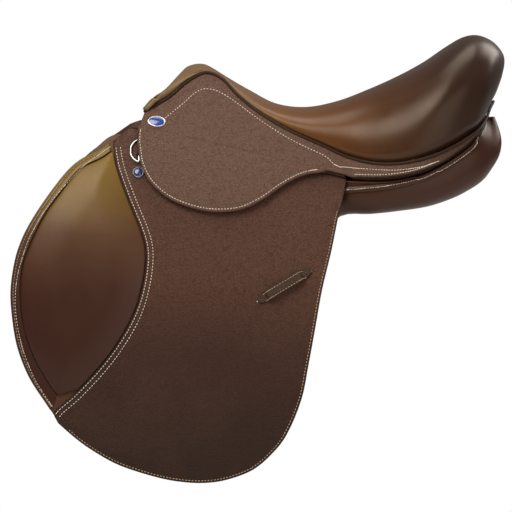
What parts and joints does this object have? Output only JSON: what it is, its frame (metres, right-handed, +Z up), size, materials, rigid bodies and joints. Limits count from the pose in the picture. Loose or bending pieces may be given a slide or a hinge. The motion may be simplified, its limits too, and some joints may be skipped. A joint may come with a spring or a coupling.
{
  "type": "english jumping saddle",
  "caption": "Close-contact jumping saddle: padded seat on a sprung tree, lifting flaps with knee pads, stirrup bars, girth straps and twin wool panels.",
  "frame": {"origin": "the middle of the horse's back under the panels, level with the panels' bearing surface at mid length", "axes": "+X from the pommel to the cantle, +Z up, near (left) side at -Y"},
  "size_m": [0.6187, 0.383, 0.5489],
  "materials": {
    "seat_calf": "smooth waxed golden-brown calf",
    "grain_leather": "pebbled brown leather, matt sheen",
    "knee_calf": "smooth calf, waxed",
    "panel_leather": "dark brown smooth leather",
    "strap_leather": "dark bridle leather",
    "black_piping": "black rolled piping",
    "foam": "open-cell seat foam",
    "laminated_beech": "varnished laminated beech",
    "webbing": "woven cotton webbing",
    "steel": "plain steel",
    "bright_steel": "polished",
    "blue_enamel": "glossy blue enamel in a metal rim",
    "navy_enamel": "glossy navy enamel in a beaded rim"
  },
  "bodies": {
    "root": {"cross_web": "webbing", "flap_head_left": "knee_calf", "flap_head_right": "knee_calf", "front_facing": "seat_calf", "front_web_left": "webbing", "front_web_right": "webbing", "gullet_lining": "panel_leather", "gullet_plate": "steel", "head_plate": "steel", "oval_stud_left": "blue_enamel", "oval_stud_right": "blue_enamel", "panel_left": "panel_leather", "panel_right": "panel_leather", "panel_welt_left": "panel_leather", "panel_welt_right": "panel_leather", "rear_web_left": "webbing", "rear_web_right": "webbing", "seat_cover": "seat_calf", "seat_foam": "foam", "seat_welt_left": "black_piping", "seat_welt_right": "black_piping", "skirt_top_left": "grain_leather", "skirt_top_right": "grain_leather", "spring_bar_left": "steel", "spring_bar_right": "steel", "stirrup_bar_left": "bright_steel", "stirrup_bar_right": "bright_steel", "strain_web": "webbing", "sweat_flap_left": "panel_leather", "sweat_flap_right": "panel_leather", "tree_cantle": "laminated_beech", "tree_head": "laminated_beech", "tree_rail_left": "laminated_beech", "tree_rail_right": "laminated_beech"},
    "flap_left_body": {"flap_left": "grain_leather", "flap_lining_left": "knee_calf", "knee_pad_left": "knee_calf", "knee_border_left": "knee_calf", "keeper_left": "grain_leather", "round_stud_left": "navy_enamel", "dee_chape_left": "strap_leather"},
    "skirt_left_body": {"skirt_lobe_left": "grain_leather"},
    "dee_left_body": {"dee_left": "bright_steel"},
    "catch_left_body": {"safety_catch_left": "bright_steel"},
    "front_strap_left_body": {"billet_1_left": "strap_leather"},
    "rear_strap_left_body": {"billet_2_left": "strap_leather", "billet_3_left": "strap_leather"},
    "flap_right_body": {"flap_right": "grain_leather", "flap_lining_right": "knee_calf", "knee_pad_right": "knee_calf", "knee_border_right": "knee_calf", "keeper_right": "grain_leather", "round_stud_right": "navy_enamel", "dee_chape_right": "strap_leather"},
    "skirt_right_body": {"skirt_lobe_right": "grain_leather"},
    "dee_right_body": {"dee_right": "bright_steel"},
    "catch_right_body": {"safety_catch_right": "bright_steel"},
    "front_strap_right_body": {"billet_1_right": "strap_leather"},
    "rear_strap_right_body": {"billet_2_right": "strap_leather", "billet_3_right": "strap_leather"}
  },
  "joints": [
    {"name": "flap_lift_left", "type": "hinge", "parent": "root", "child": "flap_left_body", "pos_m": [-0.05564, -0.11178, 0.08058], "axis": [-0.9703, 0.0857, 0.2262], "range_deg": [0, 95]},
    {"name": "skirt_lift_left", "type": "hinge", "parent": "flap_left_body", "child": "skirt_left_body", "pos_m": [-0.05564, -0.11178, 0.08058], "axis": [-0.9703, 0.0857, 0.2262], "range_deg": [0, 60]},
    {"name": "dee_swing_left", "type": "hinge", "parent": "flap_left_body", "child": "dee_left_body", "pos_m": [-0.18927, -0.11398, 0.06774], "axis": [0.0009, 0.4379, 0.899], "range_deg": [0, 30]},
    {"name": "catch_turn_left", "type": "hinge", "parent": "root", "child": "catch_left_body", "pos_m": [-0.08016, -0.11617, 0.05354], "axis": [0.022, -0.8999, 0.4355], "range_deg": [0, 75]},
    {"name": "front_strap_swing_left", "type": "hinge", "parent": "root", "child": "front_strap_left_body", "pos_m": [-0.05209, -0.12026, 0.02259], "axis": [-0.0623, -0.9497, 0.3069], "range_deg": [-8, 8]},
    {"name": "rear_strap_swing_left", "type": "hinge", "parent": "root", "child": "rear_strap_left_body", "pos_m": [-0.02015, -0.11803, 0.01297], "axis": [-0.0644, -0.9175, 0.3924], "range_deg": [-8, 8]},
    {"name": "flap_lift_right", "type": "hinge", "parent": "root", "child": "flap_right_body", "pos_m": [-0.05564, 0.11178, 0.08058], "axis": [0.9703, 0.0857, -0.2262], "range_deg": [0, 95]},
    {"name": "skirt_lift_right", "type": "hinge", "parent": "flap_right_body", "child": "skirt_right_body", "pos_m": [-0.05564, 0.11178, 0.08058], "axis": [0.9703, 0.0857, -0.2262], "range_deg": [0, 60]},
    {"name": "dee_swing_right", "type": "hinge", "parent": "flap_right_body", "child": "dee_right_body", "pos_m": [-0.18927, 0.11398, 0.06774], "axis": [-0.0009, 0.4379, -0.899], "range_deg": [0, 30]},
    {"name": "catch_turn_right", "type": "hinge", "parent": "root", "child": "catch_right_body", "pos_m": [-0.08016, 0.11617, 0.05354], "axis": [-0.022, -0.8999, -0.4355], "range_deg": [0, 75]},
    {"name": "front_strap_swing_right", "type": "hinge", "parent": "root", "child": "front_strap_right_body", "pos_m": [-0.05209, 0.12026, 0.02259], "axis": [0.0623, -0.9497, -0.3069], "range_deg": [-8, 8]},
    {"name": "rear_strap_swing_right", "type": "hinge", "parent": "root", "child": "rear_strap_right_body", "pos_m": [-0.02015, 0.11803, 0.01297], "axis": [0.0644, -0.9175, -0.3924], "range_deg": [-8, 8]}
  ]
}
